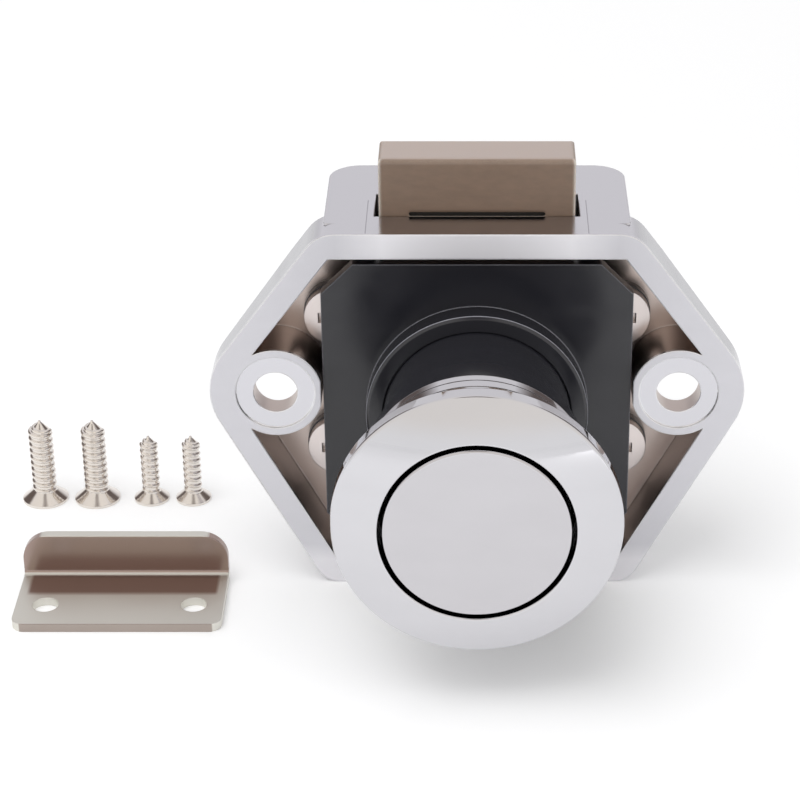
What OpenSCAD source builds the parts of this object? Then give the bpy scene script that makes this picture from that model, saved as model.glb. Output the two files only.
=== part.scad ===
// Push button cabinet lock with a telescoping rosette, strike plate and screws.
// X runs along the flange, -Y towards the button, Z the way the bolt moves.
// The origin is midway between the two ear holes, on the flange's front face.
// The button is latched in, so the bolt is out. All sizes are in millimetres.

/* [Flange and tray] */
// Thickness of the flange
flange_t = 5.5; // [4.9:0.1:6]
// Height of the flange above the line of the ear holes
flange_up = 18.75; // [18:0.25:22]
// Depth of the flange below that line
flange_down = 23.95; // [23.5:0.05:27]
// Length of the flange's top edge
flange_top_w = 33.8; // [33.5:0.1:36]
// Length of the flange's bottom edge
flange_bottom_w = 34.1; // [33.8:0.1:37]
// Distance between the ear corners before they are rounded
flange_w = 60.8; // [60:0.2:70]
// Height of the ear corners above the hole line
ear_corner_z = 0.75; // [0:0.25:1.5]
// Radius of the ear corners
ear_corner_r = 7.5; // [6:0.5:10]
// Radius of the flange's top corners
flange_top_r = 3.8; // [2:0.2:5]
// Radius of the flange's bottom corners
flange_foot_r = 3; // [1.5:0.25:4]
// Width of the rim above and below the tray
rim_w = 2.85; // [2.4:0.05:3.2]
// Width of the rim along the slanted sides
rim_side_w = 2.6; // [2.4:0.05:3]
// Depth of the tray below the flange's front face
tray_depth = 6.3; // [5.9:0.1:7]
// Thickness of the tray's floor
tray_floor_t = 1.2; // [1:0.1:2]
// Wall of the pan behind the flange
pan_wall = 1.2; // [1:0.1:1.6]

/* [Ear holes] */
// Distance between the two ear holes
ear_spacing = 43.8; // [43:0.2:48]
// Diameter of an ear hole
ear_hole_d = 4.8; // [3.6:0.1:5.4]
// Diameter of the pad round an ear hole
ear_pad_d = 10.3; // [9.6:0.1:10.8]
// Diameter of the shallow ring on an ear pad
ear_ring_d = 8.6; // [7:0.1:9.4]
// Depth of that ring
ear_ring_depth = 0.25; // [0.1:0.05:0.5]
// Thickness of metal that a screw head seats on
ear_seat_t = 3; // [2:0.1:4]
// Diameter of the screw head's recess behind an ear
ear_recess_d = 6.8; // [6.2:0.1:7.4]
// Diameter of that recess where it opens at the rear
ear_flare_d = 9.6; // [9.4:0.1:9.8]
// Distance from the middle at which the ears begin to thin
ear_taper_x = 20; // [19:0.5:22]
// Thickness of the flange at the ear corners
ear_edge_t = 3.2; // [3.1:0.1:4.5]

/* [Case box] */
// Outer width of the case box
box_w = 32.7; // [32.3:0.1:33.2]
// Depth of the case box behind the flange's front face
box_back = 19.3; // [19.1:0.1:21]
// Radius of the box's rear corners
box_corner_r = 3.5; // [2:0.25:4]
// Thickness of the rear cover
cover_t = 1.5; // [1.3:0.1:1.8]
// Depth at which the rear cover lies in the box
cover_inset = 0.1; // [0:0.05:0.3]

/* [Button and rosette] */
// Drop of the button's axis below the ear holes
button_drop = 2.45; // [2:0.05:2.75]
// Diameter of the button's face
button_d = 19.1; // [18.8:0.1:19.4]
// Reach of the button's face in front of the flange
button_reach = 26; // [25.5:0.1:28]
// Height of the dome on the button's face
button_dome = 0.4; // [0.2:0.05:0.8]
// Length of the button cap
cap_len = 8.6; // [8:0.1:9]
// Gap between the button and the rosette's ring
button_gap = 0.45; // [0.3:0.05:0.6]
// Diameter of the rosette's ring
ring_d = 29.6; // [28:0.2:34]
// Thickness of the ring's rim
ring_rim_t = 1.8; // [1:0.05:2.2]
// Fall of the ring's face from its bore to its rim
ring_fall = 1.6; // [1.2:0.05:2.4]
// Wall of the rosette's chromed neck
neck_wall = 1; // [0.9:0.05:1.2]
// Reach of the neck's rear end in front of the flange
neck_rear = 14.15; // [13.5:0.05:15]
// Step from the neck down to the black collar behind it
collar_step = 0.48; // [0.3:0.02:0.6]
// Length of the collar that shows behind the neck
collar_len = 3.85; // [3:0.05:4.5]
// Length of the collar's spigot inside the neck
spigot_len = 5.8; // [4:0.1:6.2]
// Wall of the collar's spigot
spigot_wall = 0.63; // [0.55:0.02:0.9]
// Outer diameter of the guide tube
tube_d = 20.4; // [20.3:0.02:20.6]
// Wall of the guide tube
tube_wall = 0.9; // [0.8:0.05:1]
// Reach of the guide tube in front of the flange
tube_reach = 16; // [15.5:0.1:16.2]
// Travel of the rosette for thinner doors
rosette_travel = 8; // [6:0.1:8]

/* [Front cover] */
// Width of the black front cover
front_w = 33.6; // [33:0.1:34]
// Height of the front cover
front_h = 34; // [33.6:0.1:34.4]
// Chamfer on the front cover's corners
front_chamfer = 3.5; // [3:0.1:4]
// Depth of the front cover's face below the flange's front face
front_sink = 1.67; // [1.5:0.01:1.9]
// Thickness of the front cover
front_t = 1.58; // [1.4:0.01:1.7]
// Wall of the sleeve on the front cover
sleeve_wall = 1.77; // [1.5:0.01:2]
// Length of the sleeve
sleeve_len = 2.7; // [2.2:0.1:3]
// Length of the front cover's skirts
skirt_len = 1.4; // [1:0.1:1.5]

/* [Bolt] */
// Width of the bolt
bolt_w = 21; // [20.6:0.1:21.4]
// Thickness of the bolt
bolt_t = 5.6; // [5.2:0.1:5.8]
// Depth of the bolt's front face behind the flange's front face
bolt_front = 5; // [4.95:0.05:5.2]
// Reach of the bolt above the case
bolt_reach = 6.5; // [5.5:0.1:6.6]
// Rounding of the bolt's edges
bolt_edge_r = 0.5; // [0.3:0.1:0.8]
// Length of the groove across the bolt's front face
slit_w = 14.6; // [10:0.2:16]
// Height of that groove
slit_h = 0.5; // [0.4:0.05:0.8]
// Depth of that groove
slit_depth = 0.5; // [0.3:0.1:0.8]
// Height of the groove's top edge above the case
slit_rise = 0.45; // [0.45:0.05:1]

/* [Mechanism] */
// Travel of the button between its latched and its released place
button_travel = 7.6; // [7.4:0.1:7.8]
// Fall of the bolt for each millimetre of button travel
cam_ratio = 0.86; // [0.84:0.01:0.88]
// Width of the cam carriage
carriage_w = 11; // [10.6:0.1:11.4]
// Height of the cam carriage
carriage_h = 13.6; // [13.4:0.1:14]
// Depth of the cam grooves in the carriage's sides
groove_depth = 1.6; // [1.4:0.05:1.8]
// Diameter of the follower pins
pin_d = 2.4; // [2.2:0.05:2.6]
// Reach of the seat for the screw inside the button's core
core_seat = 5; // [4:0.5:6]
// Depth of the well round that screw's head
core_well = 3; // [2:0.5:4]
// Shank diameter of that screw
core_screw_d = 2.4; // [2:0.1:2.6]
// Head diameter of that screw
core_screw_head_d = 5.4; // [5:0.1:6]
// Thickness of that screw's head
core_screw_head_t = 1.6; // [1.2:0.1:2]
// Width of the mechanism body
body_w = 26; // [25.6:0.1:26.2]
// Height of the mechanism body
body_h = 30.6; // [30:0.1:31]
// Depth of the heart track under the carriage
track_depth = 1.2; // [1:0.05:1.4]
// Diameter of the catch wire
wire_d = 0.8; // [0.6:0.05:0.9]
// Diameter of the bore that holds the button spring
spring_bore_d = 6.4; // [6:0.1:6.6]
// Wire diameter of the button spring
spring_wire_d = 0.7; // [0.5:0.05:0.8]
// Number of coils in the button spring
spring_turns = 6; // [4:1:7]

/* [Screws] */
// Distance of the body screws from the mechanism body's sides
screw_out = 2.5; // [2.4:0.05:2.7]
// Half the distance between an upper and a lower body screw
screw_z = 8; // [7.8:0.1:8.2]
// Drop of the body screws' middle below the hole line
screw_drop = 0.7; // [0.4:0.1:1]
// Head diameter of the body screws
screw_head_d = 6.6; // [6:0.1:6.8]
// Shank diameter of the body screws
screw_d = 2.2; // [2:0.1:2.4]
// Diameter of the case screws' shanks
case_screw_d = 2.9; // [2.6:0.1:3.5]
// Head diameter of the case screws
case_screw_head_d = 5.4; // [5:0.1:6]
// Length of the case screws
case_screw_len = 10.5; // [9:0.5:16]
// Diameter of the strike screws' shanks
strike_screw_d = 2.2; // [2:0.1:2.6]
// Head diameter of the strike screws
strike_screw_head_d = 4.2; // [3.8:0.1:4.8]
// Length of the strike screws
strike_screw_len = 8.4; // [7:0.5:12]

/* [Strike plate] */
// Width of the strike plate
strike_w = 23; // [21:0.5:30]
// Depth of the strike plate's foot
strike_foot = 11.5; // [10:0.5:15]
// Height of the strike plate's tab
strike_tab = 6; // [5:0.25:8]
// Thickness of the strike plate
strike_t = 1; // [0.8:0.1:1.5]
// Distance between the strike plate's holes
strike_spacing = 16.4; // [14:0.2:18]
// Diameter of the strike plate's holes
strike_hole_d = 2.9; // [2.6:0.1:3.4]
// Distance of the strike plate's holes from the foot's front edge
strike_hole_y = 4; // [3.5:0.1:5]
// Radius of the tab's top corners
strike_tab_r = 3; // [1.5:0.25:4]

/* [Clearances] */
// Gap between pieces that are fixed together
fit_gap = 0.05; // [0.03:0.01:0.1]
// Radial gap of the guided round pieces
run_gap = 0.06; // [0.04:0.01:0.1]
// Gap at each side of the sliding bolt and carriage
slide_gap = 0.2; // [0.15:0.05:0.25]
// Gap round the bolt in the case's slot
slot_gap = 0.5; // [0.35:0.05:0.5]
// Gap round the front cover, the screw heads and the skirts
cover_gap = 0.3; // [0.2:0.05:0.4]
// Gap at each side of the mechanism body in the case box
body_gap = 0.2; // [0.1:0.05:0.3]
// Gap between the front cover and the ear pads beside it
pad_gap = 0.15; // [0.1:0.05:0.3]

/* [Hidden] */
$fn = 64;
eps = 1;
axis_z = -button_drop;
floor_z = -flange_down;
floor_back = tray_depth + tray_floor_t;

// Flange outline, anticlockwise seen from the rear of the picture plane
flange_pts = [
    [-flange_bottom_w / 2, floor_z], [flange_bottom_w / 2, floor_z],
    [flange_w / 2, ear_corner_z], [flange_top_w / 2, flange_up],
    [-flange_top_w / 2, flange_up], [-flange_w / 2, ear_corner_z]
];
flange_r = [flange_foot_r, flange_foot_r, ear_corner_r, flange_top_r, flange_top_r, ear_corner_r];
rims = [rim_w, rim_side_w, rim_side_w, rim_w, rim_side_w, rim_side_w];
tray_ear_r = ear_corner_r - rim_side_w;
tray_r = [0.4, 0.4, tray_ear_r, 0.2, 0.2, tray_ear_r];
pan_insets = [for (w = rims) w - pan_wall];
pan_ear_r = tray_ear_r + pan_wall;
pan_r = [1, 1, pan_ear_r, 0.6, 0.6, pan_ear_r];

// Space inside the case box
room_x = body_w / 2 + body_gap;
room_top = flange_up - rim_w;
room_bottom = floor_z + rim_w;
cover_front = box_back - cover_inset - cover_t;

// Front cover and what it clamps
front_back = front_sink + front_t;
sleeve_front = front_sink - sleeve_len;
sleeve_bore_r = tube_d / 2 + 2 * fit_gap;
sleeve_d = 2 * (sleeve_bore_r + sleeve_wall);
seat_t = 0.8;
seat_r = sleeve_d / 2 - 0.2;

// Rosette's sleeves, built outwards from the guide tube
spigot_r = tube_d / 2 + run_gap + spigot_wall;
neck_d = 2 * (spigot_r + fit_gap + neck_wall);
collar_d = neck_d - 2 * collar_step;

// Bolt, its channel and its window
bolt_top = flange_up + bolt_reach;
bolt_travel = button_travel * cam_ratio;
slit_top = flange_up + slit_rise;
bolt_back = bolt_front + bolt_t;
channel_front = bolt_front - 0.75 * slide_gap;
channel_back = bolt_back + slide_gap;
carriage_top = axis_z + carriage_h / 2;
carriage_bottom = axis_z - carriage_h / 2;
window_x = carriage_w / 2 + 2 * slide_gap;
window_top = carriage_top + bolt_travel + 2 * slide_gap;
bolt_bottom = room_bottom + bolt_travel + 2 * slide_gap;
window_bottom = bolt_bottom + 1.8;

// Cam carriage, seen at rest
carriage_front = 2.5;
carriage_back = cover_front - 2 * slide_gap;
cam_angle = atan(cam_ratio);
groove_r = pin_d / 2 + fit_gap;
groove_spare = 0.4;
pin_y = bolt_front + bolt_t / 2;
pin_z = carriage_top - groove_r - groove_spare - 0.95;

// Mechanism body and its screws
body_front = front_back;
body_back = 16;
screw_x = body_w / 2 + screw_out;
lug_front = tray_depth - 1.2;
lug_r = screw_head_d / 2 + 0.1;
head_front = front_back + cover_gap;
boss_back = floor_back + 3;
post_x = body_w / 2 - 3.7;
post_r = 2.3;
peg_x = (bolt_w / 2 + slide_gap + body_w / 2) / 2;
peg_z = body_h / 2 - 1.3;
peg_r = 0.7;

// Catch wire and heart track
wire_z = carriage_bottom - wire_d / 2 - 0.35;
tip_y = 6.3;
leg_y = body_back - 1.6;
leg_bottom = wire_z - 4;

// Button spring
bore_end = 9.6;
spring_r = spring_bore_d / 2 - spring_wire_d / 2 - 0.35;

// Places of the loose pieces beside the lock
strike_at = [-39.5, -10.5];
case_screw_at = [[-51.6, 19], [-45.4, 19]];
strike_screw_at = [[-38.9, 19], [-33.9, 19]];

function unit(v) = v / norm(v);

// Point where the line through p along d meets the line through q along e
function meet(p, d, q, e) =
    let(c = d[0] * e[1] - d[1] * e[0])
    p + d * ((q[0] - p[0]) * e[1] - (q[1] - p[1]) * e[0]) / c;

// Anticlockwise outline, each side moved inwards by its own width
function inset(pts, ws) =
    let(n = len(pts))
    [for (i = [0:n - 1])
        let(
            p = pts[i],
            d = unit(p - pts[(i + n - 1) % n]),
            e = unit(pts[(i + 1) % n] - p)
        )
        meet(p + ws[(i + n - 1) % n] * [-d[1], d[0]], d, p + ws[i] * [-e[1], e[0]], e)];

// Outline with every corner rounded to its own radius
module rounded(pts, radii) {
    n = len(pts);
    corners = [for (i = [0:n - 1])
        let(
            p = pts[i],
            u = unit(pts[(i + n - 1) % n] - p),
            v = unit(pts[(i + 1) % n] - p),
            half = acos(u * v) / 2,
            s = radii[i] / tan(half)
        )
        [p + s * u, p + s * v, p + radii[i] / sin(half) * unit(u + v)]];
    polygon([for (c = corners) each [c[0], c[1]]]);
    for (i = [0:n - 1])
        translate(corners[i][2])
            circle(radii[i]);
}

// Plate with an outline in X and Z, between two depths
module slab(y0, y1) {
    translate([0, y1, 0])
        rotate([90, 0, 0])
            linear_extrude(y1 - y0)
                children();
}

// Round bar along the depth
module bar(x, z, r, y0, y1) {
    translate([x, y0, z])
        rotate([-90, 0, 0])
            cylinder(h = y1 - y0, r = r);
}

// Block between two corners
module block(a, b) {
    translate(a)
        cube(b - a);
}

// Solid turned about the button's axis; profile points are [radius, reach]
module turned(profile) {
    translate([0, 0, axis_z])
        rotate([90, 0, 0])
            rotate_extrude()
                polygon(profile);
}

// Pads round the ear holes, cut flat beside the front cover
module ear_pads() {
    difference() {
        for (side = [-1, 1])
            translate([side * ear_spacing / 2, 0])
                circle(ear_pad_d / 2);
        square([front_w + 2 * pad_gap, 2 * ear_pad_d], center = true);
    }
}

// Wedge that thins the rear of an ear towards its corner
module ear_wedge(side) {
    far = flange_w / 2 + eps;
    fall = (flange_t - ear_edge_t) * (far - ear_taper_x) / (flange_w / 2 - ear_taper_x);
    translate([0, 0, floor_z - eps])
        linear_extrude(flange_up - floor_z + 2 * eps)
            polygon([
                [side * ear_taper_x, flange_t], [side * far, flange_t - fall],
                [side * far, flange_t + eps], [side * ear_taper_x, flange_t + eps]
            ]);
}

// Screw recess behind an ear, wider towards the rear
module ear_recess(side) {
    run = floor_back - ear_seat_t;
    flare = (ear_flare_d - ear_recess_d) / 2 / run;
    translate([side * ear_spacing / 2, ear_seat_t, 0])
        rotate([-90, 0, 0])
            cylinder(h = run + eps, r1 = ear_recess_d / 2, r2 = ear_recess_d / 2 + flare * (run + eps));
}

// Cross recess that points along +Z, centred on its mouth
module cross_recess(size, depth) {
    for (turn = [0, 90])
        rotate([0, 0, turn])
            translate([-size / 2, -size / 6, -depth])
                cube([size, size / 3, depth + eps]);
}

module case() {
    color("silver")
    difference() {
        union() {
            difference() {
                slab(0, flange_t)
                    rounded(flange_pts, flange_r);
                ear_wedge(-1);
                ear_wedge(1);
            }
            slab(ear_seat_t, floor_back)
                rounded(inset(flange_pts, pan_insets), pan_r);
            translate([0, 0, floor_z])
                linear_extrude(flange_up - floor_z)
                    rounded([
                        [-box_w / 2, ear_seat_t], [box_w / 2, ear_seat_t],
                        [box_w / 2, box_back], [-box_w / 2, box_back]
                    ], [0.3, 0.3, box_corner_r, box_corner_r]);
            for (sx = [-1, 1])
                for (sz = [-1, 1])
                    bar(sx * screw_x, sz * screw_z - screw_drop, screw_d / 2 + 1.6, ear_seat_t,
                        boss_back);
        }
        slab(-eps, tray_depth)
            difference() {
                rounded(inset(flange_pts, rims), tray_r);
                ear_pads();
            }
        block([-room_x, tray_depth - eps, room_bottom], [room_x, box_back + eps, room_top]);
        block(
            [-bolt_w / 2 - slot_gap, channel_front, room_top - eps],
            [bolt_w / 2 + slot_gap, bolt_back + slot_gap, flange_up + eps]
        );
        for (sx = [-1, 1]) {
            bar(sx * ear_spacing / 2, 0, ear_hole_d / 2, -eps, floor_back + eps);
            bar(sx * ear_spacing / 2, 0, ear_ring_d / 2, -eps, ear_ring_depth);
            ear_recess(sx);
            for (sz = [-1, 1])
                bar(sx * screw_x, sz * screw_z - screw_drop, screw_d / 2 + fit_gap,
                    tray_depth - eps, boss_back - 0.6);
        }
    }
}

module rear_cover() {
    color("dimgray")
    difference() {
        union() {
            block(
                [-room_x + fit_gap, cover_front, room_bottom + fit_gap],
                [room_x - fit_gap, cover_front + cover_t, room_top - fit_gap]
            );
            bar(0, axis_z, spring_r - spring_wire_d / 2 - 0.25, cover_front - 3, cover_front + 0.1);
        }
        for (sx = [-1, 1]) {
            bar(sx * post_x, axis_z, 1.1, cover_front - eps, box_back);
            bar(sx * post_x, axis_z, 2.05, cover_front + cover_t - 0.8, box_back);
        }
    }
}

module cover_screw(sx) {
    color("gainsboro")
    difference() {
        union() {
            bar(sx * post_x, axis_z, 1.95, cover_front + cover_t - 0.8, cover_front + cover_t);
            bar(sx * post_x, axis_z, 0.95, cover_front - 5, cover_front + cover_t - 0.75);
        }
        translate([sx * post_x, cover_front + cover_t, axis_z])
            rotate([-90, 0, 0])
                cross_recess(2.2, 0.5);
    }
}

module mechanism_body() {
    color("dimgray")
    difference() {
        union() {
            block(
                [-body_w / 2, body_front, axis_z - body_h / 2],
                [body_w / 2, body_back, axis_z + body_h / 2]
            );
            for (sx = [-1, 1]) {
                bar(sx * post_x, axis_z, post_r, body_back - eps, cover_front);
                for (sz = [-1, 1]) {
                    bar(sx * screw_x, sz * screw_z - screw_drop, lug_r, lug_front, tray_depth);
                    translate([sx * (body_w / 2 + screw_x) / 2, (lug_front + tray_depth) / 2,
                        sz * screw_z - screw_drop])
                        cube([screw_x - body_w / 2 + eps, tray_depth - lug_front, 2 * lug_r],
                            center = true);
                }
            }
        }
        bar(0, axis_z, seat_r + fit_gap, body_front - eps, body_front + seat_t + fit_gap);
        block(
            [-bolt_w / 2 - slide_gap, channel_front, axis_z - body_h],
            [bolt_w / 2 + slide_gap, channel_back, axis_z + body_h]
        );
        block(
            [-carriage_w / 2 - slide_gap, body_front - eps, carriage_bottom - slide_gap],
            [carriage_w / 2 + slide_gap, body_back + eps, carriage_top + slide_gap]
        );
        block(
            [-1.6, channel_back - eps, wire_z - wire_d / 2 - 0.2],
            [1.6, body_back + eps, carriage_bottom]
        );
        translate([0, leg_y, leg_bottom - 0.2])
            cylinder(h = wire_z - leg_bottom, r = wire_d / 2 + fit_gap);
        for (sx = [-1, 1]) {
            bar(sx * post_x, axis_z, 1, cover_front - 5.3, cover_front + eps);
            for (sz = [-1, 1]) {
                bar(sx * screw_x, sz * screw_z - screw_drop, screw_d / 2 + 0.4, lug_front - eps,
                    tray_depth + eps);
                bar(sx * screw_x, sz * screw_z - screw_drop, lug_r, body_front - eps, lug_front);
                bar(sx * peg_x, axis_z + sz * peg_z, peg_r + fit_gap, body_front - eps,
                    body_front + 3);
            }
        }
    }
}

module body_screw(sx, sz) {
    x = sx * screw_x;
    z = sz * screw_z - screw_drop;
    color("gainsboro")
    difference() {
        union() {
            bar(x, z, screw_head_d / 2, head_front + 0.3, lug_front);
            intersection() {
                bar(x, z, screw_head_d / 2, head_front, head_front + 0.4);
                translate([x, head_front + screw_head_d * 3, z])
                    sphere(screw_head_d * 3, $fn = 128);
            }
            bar(x, z, screw_d / 2, lug_front - 0.1, boss_back - 0.8);
        }
        translate([x, head_front, z])
            rotate([90, 0, 0])
                cross_recess(3.5, 0.9);
    }
}

module front_cover() {
    color([0.16, 0.16, 0.18])
    difference() {
        union() {
            slab(front_sink, front_back)
                translate([0, axis_z])
                    polygon([
                        [-front_w / 2, -front_h / 2 + front_chamfer],
                        [-front_w / 2 + front_chamfer, -front_h / 2],
                        [front_w / 2 - front_chamfer, -front_h / 2],
                        [front_w / 2, -front_h / 2 + front_chamfer],
                        [front_w / 2, front_h / 2 - front_chamfer],
                        [front_w / 2 - front_chamfer, front_h / 2],
                        [-front_w / 2 + front_chamfer, front_h / 2],
                        [-front_w / 2, front_h / 2 - front_chamfer]
                    ]);
            turned([
                [0, -front_sink - 0.5], [sleeve_d / 2, -front_sink - 0.5],
                [sleeve_d / 2, -sleeve_front - 0.3], [sleeve_d / 2 - 0.3, -sleeve_front],
                [0, -sleeve_front]
            ]);
            for (sz = [-1, 1])
                translate([0, front_back + skirt_len / 2 - 0.25,
                    axis_z + sz * (front_h / 2 - 0.6)])
                    cube([front_w - 2 * front_chamfer, skirt_len + 0.5, 1.2], center = true);
            for (sx = [-1, 1])
                for (sz = [-1, 1])
                    bar(sx * peg_x, axis_z + sz * peg_z, peg_r, front_back - 0.5, front_back + 2.7);
        }
        bar(0, axis_z, sleeve_bore_r, sleeve_front - eps, front_back + eps);
    }
}

module guide_tube() {
    color([0.12, 0.12, 0.14])
    turned([
        [tube_d / 2 - tube_wall, tube_reach], [tube_d / 2 - 0.3, tube_reach],
        [tube_d / 2, tube_reach - 0.3], [tube_d / 2, -front_back],
        [seat_r, -front_back], [seat_r, -front_back - seat_t],
        [tube_d / 2 - tube_wall, -front_back - seat_t]
    ]);
}

module rosette_ring() {
    bore_r = button_d / 2 + button_gap;
    face = button_reach;
    rim = face - ring_fall;
    rear = rim - ring_rim_t;
    room_r = max(bore_r + 0.4, tube_d / 2 + 0.2);
    edge = 0.1;
    centre = (face * face + bore_r * bore_r - rim * rim - ring_d * ring_d / 4) / (2 * ring_fall);
    color("silver")
    translate([0, 0, axis_z])
        rotate([90, 0, 0])
            intersection() {
                rotate_extrude()
                    polygon([
                        [bore_r, face + eps], [ring_d / 2 - edge - ring_fall - eps, face + eps],
                        [ring_d / 2, rim - edge], [ring_d / 2, rear + 0.15], [ring_d / 2 - 0.15, rear],
                        [neck_d / 2 - 0.35, rear], [neck_d / 2 - 0.35, rear - 0.3],
                        [neck_d / 2, rear - 0.5], [neck_d / 2, neck_rear + 0.2],
                        [neck_d / 2 - 0.2, neck_rear], [neck_d / 2 - neck_wall, neck_rear],
                        [neck_d / 2 - neck_wall, neck_rear + spigot_len + 0.1],
                        [room_r, neck_rear + spigot_len + 0.1], [room_r, face - 1.5], [bore_r, face - 1.5]
                    ]);
                translate([0, 0, centre])
                    sphere(norm([face - centre, bore_r]), $fn = 128);
            }
}

module rosette_collar() {
    color([0.12, 0.12, 0.14])
    turned([
        [tube_d / 2 + run_gap, neck_rear - collar_len], [collar_d / 2 - 0.2, neck_rear - collar_len],
        [collar_d / 2, neck_rear - collar_len + 0.2], [collar_d / 2, neck_rear],
        [spigot_r, neck_rear], [spigot_r, neck_rear + spigot_len],
        [tube_d / 2 + run_gap, neck_rear + spigot_len]
    ]);
}

module button_cap() {
    r = button_d / 2;
    dome_r = (r * r + button_dome * button_dome) / (2 * button_dome);
    rear = button_reach - cap_len;
    color("gainsboro")
    translate([0, 0, axis_z])
        rotate([90, 0, 0])
            intersection() {
                rotate_extrude()
                    polygon([
                        [0, button_reach + eps], [r - 0.25, button_reach + eps],
                        [r - 0.25, button_reach], [r, button_reach - 0.25],
                        [r, rear], [r - 1.2, rear],
                        [r - 1.2, button_reach - 1.6], [0, button_reach - 1.6]
                    ]);
                translate([0, 0, button_reach + button_dome - dome_r])
                    sphere(dome_r, $fn = 256);
            }
}

module button_core() {
    r = tube_d / 2 - tube_wall - run_gap;
    rear = button_reach - cap_len;
    top = button_reach - 1.6 - fit_gap;
    plug_r = button_d / 2 - 1.2 - fit_gap;
    color([0.12, 0.12, 0.14])
    turned([
        [core_screw_d / 2 + 0.1, -carriage_front], [r, -carriage_front], [r, rear],
        [plug_r, rear], [plug_r, top], [plug_r - 1.3, top], [plug_r - 1.3, core_seat + core_well],
        [core_screw_head_d / 2 + cover_gap, core_seat + core_well],
        [core_screw_head_d / 2 + cover_gap, core_seat], [core_screw_d / 2 + 0.1, core_seat]
    ]);
}

module core_screw() {
    color("gainsboro")
    difference() {
        union() {
            bar(0, axis_z, core_screw_head_d / 2, -core_seat - core_screw_head_t, -core_seat);
            bar(0, axis_z, core_screw_d / 2, -core_seat - 0.1, bore_end - 1.4);
        }
        translate([0, -core_seat - core_screw_head_t, axis_z])
            rotate([90, 0, 0])
                cross_recess(3, 0.9);
    }
}

// Cam groove along the path of a follower pin, cut from one side
module cam_groove(side) {
    run = button_travel / cos(cam_angle) + 2 * groove_spare;
    translate([side * (carriage_w / 2 - groove_depth / 2 + eps / 2), pin_y, pin_z])
        rotate([-cam_angle, 0, 0])
            translate([0, -groove_spare, 0]) {
                translate([-(groove_depth + eps) / 2, 0, -groove_r])
                    cube([groove_depth + eps, run, 2 * groove_r]);
                for (end = [0, run])
                    translate([0, end, 0])
                        rotate([0, 90, 0])
                            cylinder(h = groove_depth + eps, r = groove_r, center = true);
            }
}

// Heart-shaped track round which the catch wire's tip runs
module heart_track() {
    tail = tip_y + button_travel + wire_d / 2 + 0.3;
    difference() {
        polygon([
            [-0.6, tail], [-0.6, tail - 1.4], [-2.2, tip_y + 2.7], [-2.2, tip_y - 0.9],
            [-0.8, tip_y - 2.1], [0.8, tip_y - 2.1], [2.2, tip_y - 0.9], [2.2, tip_y + 2.7],
            [0.6, tail - 1.4], [0.6, tail]
        ]);
        polygon([
            [0, tip_y + 0.6], [0.9, tip_y - 0.1], [1.15, tip_y + 0.6], [1, tip_y + 2.3],
            [0, tip_y + 5], [-1, tip_y + 2.3], [-1.15, tip_y + 0.6], [-0.9, tip_y - 0.1]
        ]);
    }
}

module cam_carriage() {
    color("whitesmoke")
    difference() {
        block(
            [-carriage_w / 2, carriage_front, carriage_bottom],
            [carriage_w / 2, carriage_back, carriage_top]
        );
        cam_groove(-1);
        cam_groove(1);
        bar(0, axis_z, spring_bore_d / 2, bore_end, carriage_back + eps);
        bar(0, axis_z, core_screw_d / 2 + fit_gap, carriage_front - eps, bore_end - 1);
        translate([0, 0, carriage_bottom - eps])
            linear_extrude(track_depth + eps)
                heart_track();
    }
}

module bolt() {
    color("tan")
    difference() {
        intersection() {
            slab(bolt_front, bolt_back)
                rounded([
                    [-bolt_w / 2, bolt_bottom], [bolt_w / 2, bolt_bottom],
                    [bolt_w / 2, bolt_top], [-bolt_w / 2, bolt_top]
                ], [bolt_edge_r, bolt_edge_r, bolt_edge_r, bolt_edge_r]);
            translate([-bolt_w / 2, 0, 0])
                rotate([90, 0, 90])
                    linear_extrude(bolt_w)
                        rounded([
                            [bolt_front, bolt_bottom], [bolt_back, bolt_bottom],
                            [bolt_back, bolt_top], [bolt_front, bolt_top]
                        ], [0.3, 0.3, bolt_edge_r, bolt_edge_r]);
        }
        block([-window_x, bolt_front - eps, window_bottom], [window_x, bolt_back + eps, window_top]);
        slab(bolt_front - eps, bolt_front + slit_depth)
            rounded([
                [-slit_w / 2, slit_top - slit_h], [slit_w / 2, slit_top - slit_h],
                [slit_w / 2, slit_top], [-slit_w / 2, slit_top]
            ], slit_h / 2.2 * [1, 1, 1, 1]);
        for (side = [-1, 1])
            translate([side * (window_x + bolt_w / 2) / 2, pin_y, pin_z])
                rotate([0, 90, 0])
                    cylinder(h = bolt_w / 2 - window_x + eps, r = pin_d / 2 + 0.02, center = true);
    }
}

module follower_pin(side) {
    inner = carriage_w / 2 - groove_depth + slide_gap;
    outer = bolt_w / 2 - 0.2;
    color("gainsboro")
    translate([side * (inner + outer) / 2, pin_y, pin_z])
        rotate([0, 90, 0])
            cylinder(h = outer - inner, r = pin_d / 2, center = true);
}

// Wire swept through points, with a ring of sides across each point
module swept(path, r, sides) {
    n = len(path);
    rings = [for (i = [0:n - 1])
        let(
            t = unit(path[min(i + 1, n - 1)] - path[max(i - 1, 0)]),
            u = unit(cross(t, [0, 1, 0])),
            v = cross(t, u)
        )
        for (k = [0:sides - 1])
            path[i] + r * (cos(360 * k / sides) * u + sin(360 * k / sides) * v)];
    skin = [for (i = [0:n - 2])
        for (k = [0:sides - 1])
            let(a = i * sides + k, b = i * sides + (k + 1) % sides)
            each [[a, a + sides, b + sides], [a, b + sides, b]]];
    first = [for (k = [1:sides - 2]) [0, k, k + 1]];
    last = [for (k = [1:sides - 2]) (n - 1) * sides * [1, 1, 1] + [0, k + 1, k]];
    polyhedron(points = rings, faces = concat(skin, first, last));
}

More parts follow.
